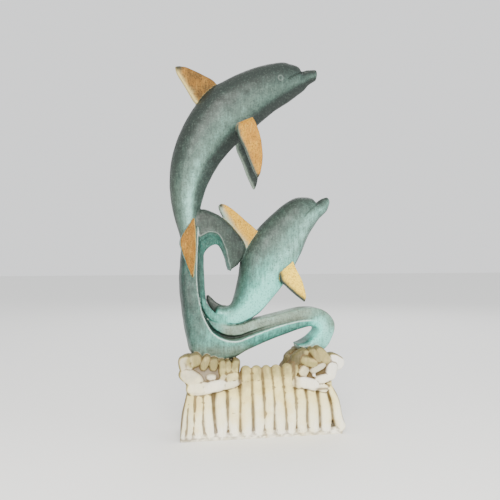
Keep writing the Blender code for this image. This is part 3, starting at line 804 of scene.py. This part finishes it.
def read_fins(spots, gap, on_fin):
    """How pale each fin's stain is, its rim and how green that is, its edges' shade, and its dark tip."""
    flat, far = spots[:, [0, 2]], spots[:, 1] > 0
    which = np.argmin([gap[fin[0]] for fin in FINS], axis=0)
    pale, rim, green, edge_shade, tip = np.zeros((5, len(spots)))
    for n, (name, rows, shift, drop, paleness, width, greenness, dark, tip_reach) in enumerate(FINS):
        here = which == n
        off = flat - far[:, None] * (shift, -drop)
        away = distance_to_line(off, [(row[2], row[3]) for row in rows])
        end = ((rows[-1][0] + rows[-1][2]) / 2, (rows[-1][1] + rows[-1][3]) / 2)
        pale[here] = paleness
        rim[here] = np.clip(1.6 - away / width, 0, 1)[here]
        green[here] = np.where(far, min(greenness, FAR_GREEN), greenness)[here]
        edge_shade[here] = dark
        tip[here] = np.clip(1.4 - np.linalg.norm(off - end, axis=1) / tip_reach, 0, 1)[here]
    return pale, rim * on_fin, green, edge_shade, tip * on_fin


def read_paint(spots, normal, which, across, edge_shade, on_fin):
    """How dark the paint is, with painted shade and a painted highlight in it, how brown and how teal it is,
    and where it is rubbed pale along a ridge.
    """
    x, y, z = spots.T
    upper, lower, wave, arch, fluke = (which == n for n in range(len(PAINTED)))
    far_lobe, near_lobe = fluke & (y > -3), fluke & (y < -3)
    curl = np.clip((x - 62) / 12, 0, 1)
    back_of_curl = curl * np.clip(across * 2.2 - 0.9, 0, 1) * np.clip((z - 128) / 14, 0, 1)
    band = wave & (across > 0.07) & (x > -52)
    front = wave & (across < 0.06)
    stem = (wave | fluke) & (x < -50)
    foot = (wave | fluke) & (across < -0.25) & (x < 0)

    # The bodies' paint is darker towards the top. The upper dolphin's tail stock is lightened as a painted
    # highlight, the lower dolphin lightens towards its tail, and the far fluke lobe is darkened as painted
    # shade in the V behind the near lobe.
    rise = np.where(z > 300, (z - 300) / 580, (z - 300) / 900)
    shade = np.select([upper, lower, wave, arch, far_lobe], [
        np.interp(across, *SHADES["upper body"]) + rise - 0.24 * np.clip((375 - z) / 70, 0, 1),
        np.interp(across, *SHADES["lower body"]) + rise - 0.14 * np.clip((205 - z) / 40, 0, 1),
        np.interp(across, *SHADES["wave"]) * (1 - curl),
        np.interp(across, *SHADES["arch"]),
        0.8,
    ], 0.12)
    shade += 0.3 * np.clip((z - 130) / 40, 0, 1) * stem
    # Fin edges take their own darkness, partly painted shade on the fins' thickness; the back of the curl
    # darkens with its brown.
    shade += (edge_shade - shade) * on_fin + 0.36 * back_of_curl * band

    brown = np.select([front & (x > -10), far_lobe, foot, band, arch, upper | lower], [
        0.0, 0.7, np.clip((121 - z) / 10, 0, 0.9), 0.9 * (1 - curl) + 0.8 * back_of_curl,
        0.3 * (across < 0.05), np.clip(across - 0.5, 0, 0.35)], 0.1)
    inner = across > 0.05
    teal = np.select(
        [stem & inner, arch & inner, front & (x > -20), wave & (x > 70), near_lobe, lower,
         (wave | fluke) & (across < 0.1)],
        [0.9, 0.9, 1.1, 0.6, 0.85, 0.25 + 0.6 * np.clip((245 - z) / 50, 0, 1), 0.62], 0.2)
    ridge = np.where((wave | arch) & (normal[:, 1] < 0.4), 1 - np.abs(across) / 0.07, 0)
    return shade, brown, teal, np.clip(ridge * (1 - curl) * np.where(arch, 0.3, 1.0), 0, 1)


def read_root(mesh, spots, normal, marks):
    """Where brown dirt and painted shade lie between and round the fingers, and how bleached or olive the
    root wood is, with painted shade on the capitals' tops and on the left end.
    """
    x, y, z = spots.T
    cleft, foot_line = np.full(len(spots), 9.0), np.zeros(len(spots))
    for n in range(len(FRONT_FINGERS)):
        for side, high in FINGER_TOPS.items():
            path = np.array(finger_spots(n, high))
            face = side * (BASE_DEPTH / 2 - 8)
            half = np.interp(z, path[:, 1], path[:, 2]) / 2
            middle = tapered(np.interp(z, path[:, 1], path[:, 0]), face)
            off = np.where((z < path[-1, 1] + half) & (y * side > 0), np.abs(x - middle) / half, 9.0)
            cleft = np.minimum(cleft, off)
            # A line of painted shade round each finger's rounded foot.
            foot = (tapered(path[0, 0], face), path[0, 1])
            away = np.linalg.norm(spots[:, [0, 2]] - foot, axis=1) - 0.44 * path[0, 2]
            under = (z < path[0, 1]) & (y * side > 22)
            foot_line = np.maximum(foot_line, 0.9 * np.exp(-(away / FOOT_LINE) ** 2) * under)
    top = np.where(np.abs(x - 5) < 38, BASE_HEIGHT + 8, 62)
    # The valleys between the fingers are brown dirt; the darkening that grows towards each valley is painted
    # shade on the rounded fingers.
    cleft = np.clip((cleft - 0.5) / 0.4, 0, 1) ** 2.4 * (np.abs(y) > 22) * (z < top)
    cleft = spread_out(mesh, cleft * np.clip((z - 11) / 6, 0, 1), 1)
    # Painted shade: the capitals' top faces go olive brown for the wave's shadow on them, and the faces of
    # the left end and the lowest far-left fingers go grey-brown for the shaded end.
    left_end, top_side = (normal[:, 0] < -0.55) & (x < -80), (normal[:, 2] > 0.55) & (z > 97)
    left_shade = 0.25 * np.clip((-88 - x) / 6, 0, 1) * (z < 62)
    tint = np.select([top_side, left_end], [0.85, 0.6 + left_shade], marks + left_shade)
    return np.maximum(cleft, foot_line), tint


def read_finishes(carving, forms):
    """Works out where each finish goes, from how near each vertex lies to each raw form."""
    mesh = carving.data
    co, normal = points_of(mesh), points_of(mesh, "normal")
    spots, places = co / MM, co.tolist()
    gap, mark = {}, {}
    for name, form in forms.items():
        near = [form["tree"].find_nearest(place) for place in places]
        gap[name] = np.array([hit[3] for hit in near]) / MM
        mark[name] = np.array(form["marks"])[[hit[2] for hit in near]]
    fin_gap = np.min([gap[fin[0]] for fin in FINS], axis=0)
    paint_gap = np.min([gap[name] for name in PAINTED], axis=0)
    fin_side = np.clip(np.minimum(paint_gap, gap["base"]) - fin_gap, -8, 8)
    root_side = np.clip(np.minimum(paint_gap, fin_gap) - gap["base"], -8, 8)
    on_fin = (fin_side > 0.2).astype(float)
    which = np.argmin([gap[name] for name in PAINTED], axis=0)
    across = spread_out(mesh, np.choose(which, [mark[name] for name in PAINTED]), 6)

    pale, rim, green, edge_shade, tip = read_fins(spots, gap, on_fin)
    shade, brown, teal, ridge = read_paint(spots, normal, which, across, edge_shade, on_fin)
    cleft, tint = read_root(mesh, spots, normal, np.where(gap["base"] < 3, mark["base"], 0))
    curve, wide_curve = (
        np.einsum("ij,ij->i", np.stack([co[:, k] - spread_out(mesh, co[:, k], rounds) for k in range(3)],
                                       axis=1), normal) / MM
        for rounds in (3, 12)
    )
    # Painted shade: every finish is darkened where the skin is closed in, found by casting rays from each
    # vertex.
    shelter = spread_out(mesh, shelter_of(mesh), 1)
    flat = spots[:, [0, 2]]
    # Painted shade in the cut mouth lines.
    for line, depth, width in MOUTH_LINES:
        if depth > 0:
            cut = np.exp(-(distance_to_line(flat, line) / (1.3 * width)) ** 2) * (np.abs(normal[:, 1]) > 0.25)
            shelter = np.maximum(shelter, 0.62 * cut)
    eyes = np.max([
        height * np.exp(-((np.linalg.norm(flat - (x, z), axis=1) - radius) / EYE_RING) ** 2)
        for x, z, radius, height in EYES
    ], axis=0)
    # Near the foot the painted shade in the hollows and the darkened creases fade out, so the gaps between
    # the fingers' feet stay white.
    foot_fade = 1 - 0.5 * np.clip((13 - spots[:, 2]) / 5, 0, 1)
    for name, values, rounds in (
        ("fin_side", fin_side, 0), ("root_side", root_side, 0), ("pale", pale, 2), ("rim", rim, 1),
        ("rim_green", green, 0), ("tip", tip, 0), ("shade", shade, 6), ("brown", brown, 5),
        ("teal", teal, 8), ("ridge", ridge, 0), ("eye", eyes, 0), ("cleft", cleft, 0), ("tint", tint, 2),
        # The curvature, kept as worn: the root wood darkens its concave creases with it, as dirt and painted
        # shade.
        ("worn", np.clip(curve * 6 + wide_curve * 1.2, -1, 1) * foot_fade, 0),
        ("shelter", np.clip(shelter * 1.5, 0, 1) * foot_fade, 0),
        ("height", spots[:, 2] / BASE_HEIGHT, 0),
    ):
        layer = mesh.attributes.new(name, "FLOAT", "POINT")
        layer.data.foreach_set("value", spread_out(mesh, values, rounds).astype(np.float32))

    faces = np.array([face.vertices[:] for face in mesh.polygons])
    broad = np.clip((normal[:, 1] * np.sign(spots[:, 1]) - 0.35) / 0.3, 0, 1) > 0.3
    fin_face = (fin_side * broad)[faces].mean(axis=1) > 0.25
    root_face = root_side[faces].mean(axis=1) > 0.0
    index = np.where(root_face, 2, np.where(fin_face, 1, 0)).astype(np.int32)
    mesh.polygons.foreach_set("material_index", index)


def linear(code):
    """A colour written as sRGB hex, as the linear values that the shader takes."""
    values = [int(code[k:k + 2], 16) / 255 for k in (1, 3, 5)]
    return (*(v / 12.92 if v <= 0.04045 else ((v + 0.055) / 1.055) ** 2.4 for v in values), 1.0)


def per_mm(size):
    """The texture scale that gives features about size millimetres across."""
    return 1 / (size * MM)


def add_node(material, kind, settings=None, inputs=None, out=0):
    """Adds a node, sets and links it, and returns one of its outputs; stops fill a colour ramp."""
    tree = material.node_tree
    node = tree.nodes.new(kind)
    for key, value in (settings or {}).items():
        if key == "stops":
            ramp = node.color_ramp.elements
            while len(ramp) < len(value):
                ramp.new(0.5)
            for element, (position, colour) in zip(ramp, value):
                element.position = position
                element.color = linear(colour)
        else:
            setattr(node, key, value)
    for key, value in (inputs or {}).items():
        if isinstance(value, bpy.types.NodeSocket):
            tree.links.new(value, node.inputs[key])
        else:
            node.inputs[key].default_value = value
    return node.outputs[out] if len(node.outputs) else node


def new_material(name):
    material = bpy.data.materials.new(name)
    material.use_nodes = True
    return material, material.node_tree.nodes["Principled BSDF"]


def start_finish(name, patterns, values, ranges):
    """A new material and what it reads: uneven patterns with their size in millimetres, how far they are
    drawn out along the upright grain, detail and roughness; values kept at the vertices; and a source, a
    stretch of it and the two ends that the stretch is drawn out between."""
    material = new_material(name)[0]
    place = add_node(material, "ShaderNodeTexCoord", out=3)
    read = {}
    for key, size, upright, detail, roughness in patterns:
        drawn = add_node(material, "ShaderNodeMapping", None, {"Vector": place, "Scale": (1, 1, upright)})
        read[key] = add_node(material, "ShaderNodeTexNoise", None, {
            "Vector": drawn, "Scale": per_mm(size), "Detail": detail, "Roughness": roughness})
    for key in values:
        read[key] = add_node(material, "ShaderNodeAttribute", {"attribute_name": key}, out=2)
    for key, source, *stretch in ranges:
        read[key] = add_node(material, "ShaderNodeMapRange", None, {
            0: read[source], **{n + 1: value for n, value in enumerate(stretch)}})
    return material, read


def end_finish(material, colour, layers, gloss, relief, strength, depth, ior):
    """Lays more colours over the first and gives the shader its colour, its gloss and a relief depth
    millimetres deep. A layer is what steers it, where it starts and is full, its share and its colour."""
    for source, start, full, share, over in layers:
        amount = add_node(material, "ShaderNodeMapRange", None, {
            0: source, 1: start, 2: full, 3: 0.0, 4: share})
        colour = add_node(material, "ShaderNodeMix", {"data_type": "RGBA"}, {
            0: amount, 6: colour, 7: linear(over) if isinstance(over, str) else over}, out=2)
    shader = material.node_tree.nodes["Principled BSDF"]
    bump = add_node(material, "ShaderNodeBump", None, {
        "Height": relief, "Strength": strength, "Distance": depth * MM})
    for name, output in (("Base Color", colour), ("Roughness", gloss), ("Normal", bump)):
        material.node_tree.links.new(output, shader.inputs[name])
    shader.inputs["IOR"].default_value = ior
    return material


def weathered_green_paint():
    """Thin grey-green paint brushed on wood and rubbed back: mottled, streaked along the upright grain,
    browner along the backs and pale along the wave's ridge, with painted shade in the hollows."""
    m, read = start_finish("weathered green paint on carved wood", [
        ("streaks", 2.4, 0.14, 4.0, 0.6), ("mottle", 11, 1.0, 5.0, 0.66),
        ("speckle", 2.1, 1.0, 2.0, 0.7), ("patches", 34, 1.0, 4.0, 0.6),
    ], ("shade", "brown", "teal", "ridge", "shelter", "eye", "rim", "rim_green", "root_side"), [
        ("uneven", "mottle", 0.3, 0.7, -0.12, 0.12), ("brushed", "streaks", 0.3, 0.7, 0.11, -0.11),
        ("sea patches", "patches", 0.2, 0.55, 0.3, 1.0), ("tan patches", "mottle", 0.3, 0.7, 0.45, 0.8),
        ("gloss", "mottle", 0.3, 0.7, 0.42, 0.62), ("fine streaks", "streaks", 0.0, 1.0, 0.0, 0.7),
    ])
    uneven = add_node(m, "ShaderNodeMath", {"operation": "ADD"}, {0: read["uneven"], 1: read["brushed"]})
    shade = add_node(m, "ShaderNodeMath", {"operation": "ADD", "use_clamp": True}, {
        0: read["shade"], 1: uneven})
    grey_green, sea_green, worn = (
        add_node(m, "ShaderNodeValToRGB", {"stops": stops}, {0: shade}) for stops in PAINT_COLOURS)
    teal, tan = (
        add_node(m, "ShaderNodeMath", {"operation": "MULTIPLY", "use_clamp": True}, {
            0: read[value], 1: read[patches]})
        for value, patches in (("teal", "sea patches"), ("brown", "tan patches")))
    rim_colour = add_node(m, "ShaderNodeValToRGB", {"stops": RIM_COLOURS}, {0: read["rim_green"]})
    relief = add_node(m, "ShaderNodeMath", {"operation": "ADD"}, {
        0: read["fine streaks"], 1: read["speckle"]})
    return end_finish(m, grey_green, [
        (teal, 0.0, 1.0, 1.0, sea_green),
        (tan, 0.0, 1.0, 1.0, worn),
        (read["speckle"], 0.54, 0.76, 0.24, "#74857a"),
        (read["speckle"], 0.48, 0.3, 0.6, "#1c2522"),
        # Painted shade in the hollows and in the cut mouth lines.
        (read["shelter"], 0.35, 0.95, 0.6, "#19231f"),
        (read["ridge"], 0.0, 1.0, 0.7, "#d4e2da"),
        (read["eye"], 0.0, 1.0, 0.32, "#d4e2da"),
        (read["rim"], 0.0, 1.0, 1.0, rim_colour),
        (read["root_side"], -1.6, 0.0, 0.8, "#8e8a6c"),
    ], read["gloss"], relief, strength=0.55, depth=0.35, ior=1.42)


def ochre_stained_fin():
    """Ochre stain wiped over bare wood and sanded: open speckled pores, warmer and darker by patches,
    with a cream rim where the stain stops short of the edges."""
    m, read = start_finish("ochre stain wiped on sanded wood", [
        ("pores", 1.9, 1.0, 2.0, 0.7), ("grain", 2.8, 0.16, 4.0, 0.6), ("patches", 15, 1.0, 3.0, 0.55),
    ], ("pale", "fin_side", "rim", "rim_green", "tip", "shelter"), [
        ("uneven", "patches", 0.3, 0.7, -0.06, 0.08), ("edge", "fin_side", 0.9, 0.2, 0.0, 0.3),
        ("gloss", "pores", 0.3, 0.7, 0.85, 0.68),
    ])
    gold = add_node(m, "ShaderNodeMath", {"operation": "ADD", "use_clamp": True}, {
        0: read["pale"], 1: read["uneven"]})
    stain = add_node(m, "ShaderNodeValToRGB", {"stops": STAIN_COLOURS}, {0: gold})
    dark_fleck, light_fleck = (
        add_node(m, "ShaderNodeMix", {"data_type": "RGBA"}, {
            0: read["pale"], 6: linear(deep), 7: linear(light)}, out=2)
        for deep, light in (("#2e2008", "#a97f26"), ("#ae8536", "#f4d660")))
    bare = add_node(m, "ShaderNodeMath", {"operation": "MAXIMUM", "use_clamp": True}, {
        0: read["edge"], 1: read["rim"]})
    rim_colour = add_node(m, "ShaderNodeValToRGB", {"stops": RIM_COLOURS}, {0: read["rim_green"]})
    return end_finish(m, stain, [
        (read["pores"], 0.55, 0.34, 0.8, dark_fleck),
        (read["grain"], 0.52, 0.74, 0.45, light_fleck),
        # Painted shade in the hollows.
        (read["shelter"], 0.4, 0.95, 0.6, "#33280f"),
        (bare, 0.0, 1.0, 1.0, rim_colour),
        (read["tip"], 0.0, 1.0, 1.0, "#2f2e1f"),
    ], read["gloss"], read["pores"], strength=0.6, depth=0.35, ior=1.42)


def bleached_root_wood():
    """Root wood, carved, bleached and left bare: chalky cream, whiter towards the foot, with brown dirt and
    painted shade in the clefts, creases and hollows, a blush of orange on the knuckles and fine upright
    fibres."""
    m, read = start_finish("bleached bare root wood", [
        ("fibres", 1.8, 0.08, 4.0, 0.6), ("blush", 19, 1.0, 3.0, 0.55), ("pores", 2.4, 1.0, 3.0, 0.7),
    ], ("height", "shelter", "worn", "tint", "cleft"), [
        ("uneven", "blush", 0.3, 0.7, -0.18, 0.18), ("crease", "worn", -0.14, -0.55, 0.0, 0.8),
        ("brown cleft", "cleft", 0.0, 1.0, 0.0, 0.85), ("gloss", "pores", 0.3, 0.7, 0.62, 0.85),
    ])
    level = add_node(m, "ShaderNodeMath", {"operation": "ADD"}, {0: read["height"], 1: read["uneven"]})
    wood = add_node(m, "ShaderNodeValToRGB", {"stops": WOOD_COLOURS}, {0: level})
    dirt_and_shade = add_node(m, "ShaderNodeMath", {"operation": "MAXIMUM", "use_clamp": True}, {
        0: read["crease"], 1: read["brown cleft"]})
    relief = add_node(m, "ShaderNodeMath", {"operation": "ADD"}, {0: read["fibres"], 1: read["pores"]})
    return end_finish(m, wood, [
        (read["blush"], 0.54, 0.7, 0.32, "#edcf92"),
        # Olive brown from the tint, which also carries painted shade on the capitals' tops and on the left
        # end.
        (read["tint"], 0.0, 1.0, 0.95, "#4a4325"),
        (read["tint"], 0.0, -0.8, 0.72, "#fcfbf4"),
        (read["fibres"], 0.5, 0.3, 0.25, "#c9b98c"),
        # Painted shade in the hollows, brown like the dirt there.
        (read["shelter"], 0.24, 0.85, 0.82, "#6f5c34"),
        # Brown in the creases and clefts: dirt, together with painted shade on the rounded fingers and round
        # their feet.
        (dirt_and_shade, 0.0, 1.0, 1.0, "#5c4722"),
    ], read["gloss"], relief, strength=0.4, depth=0.3, ior=1.5)


def set_stage():
    """A plain pale floor, soft light from the upper left with a fill from the right, and the camera."""
    scene = bpy.context.scene
    bm = bmesh.new()
    bmesh.ops.create_grid(bm, x_segments=2, y_segments=2, size=6.0)
    floor_mesh = bpy.data.meshes.new("floor")
    bm.to_mesh(floor_mesh)
    bm.free()
    floor = bpy.data.objects.new("floor", floor_mesh)
    scene.collection.objects.link(floor)
    paper, shader = new_material("matt paper floor")
    shader.inputs["Base Color"].default_value = linear("#ececea")
    shader.inputs["Roughness"].default_value = 0.95
    floor_mesh.materials.append(paper)

    world = bpy.data.worlds.new("soft room")
    world.use_nodes = True
    sky = world.node_tree.nodes["Background"]
    sky.inputs["Color"].default_value = linear("#f2f3f4")
    sky.inputs["Strength"].default_value = 1.4
    scene.world = world

    for name, spot, energy, size, tint in (
        ("key", (-0.3, -1.4, 0.9), 44.0, 0.8, "#fffaf2"),
        ("fill", (1.3, -1.1, 0.6), 8.0, 1.2, "#f4f8ff"),
        ("rear", (0.6, 1.5, 1.3), 12.0, 1.0, "#ffffff"),
    ):
        lamp = bpy.data.lights.new(name, "AREA")
        lamp.energy = energy
        lamp.size = size
        lamp.color = linear(tint)[:3]
        holder = bpy.data.objects.new(name, lamp)
        holder.location = spot
        aim = Vector((0.0, 0.0, 0.25)) - Vector(spot)
        holder.rotation_euler = aim.to_track_quat("-Z", "Y").to_euler()
        scene.collection.objects.link(holder)

    turn = math.radians(VIEW_TURN)
    aim = Vector(VIEW_AIM) * MM
    eye = aim + Vector((-math.sin(turn), -math.cos(turn), 0.0)) * VIEW_DISTANCE * MM
    lens = bpy.data.cameras.new("camera")
    lens.lens = LENS
    camera = bpy.data.objects.new("camera", lens)
    camera.location = eye
    camera.rotation_euler = (aim - eye).to_track_quat("-Z", "Y").to_euler()
    scene.collection.objects.link(camera)
    scene.camera = camera


def main():
    set_stage()
    forms = raw_forms()
    carving = fused_skin(forms)
    for make in (weathered_green_paint, ochre_stained_fin, bleached_root_wood):
        carving.data.materials.append(make())
    read_finishes(carving, forms)
    for form in forms.values():
        form["mesh"].free()
    carving.data.shade_smooth()
    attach(carving, "root")
    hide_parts("dolphin_carving")


main()
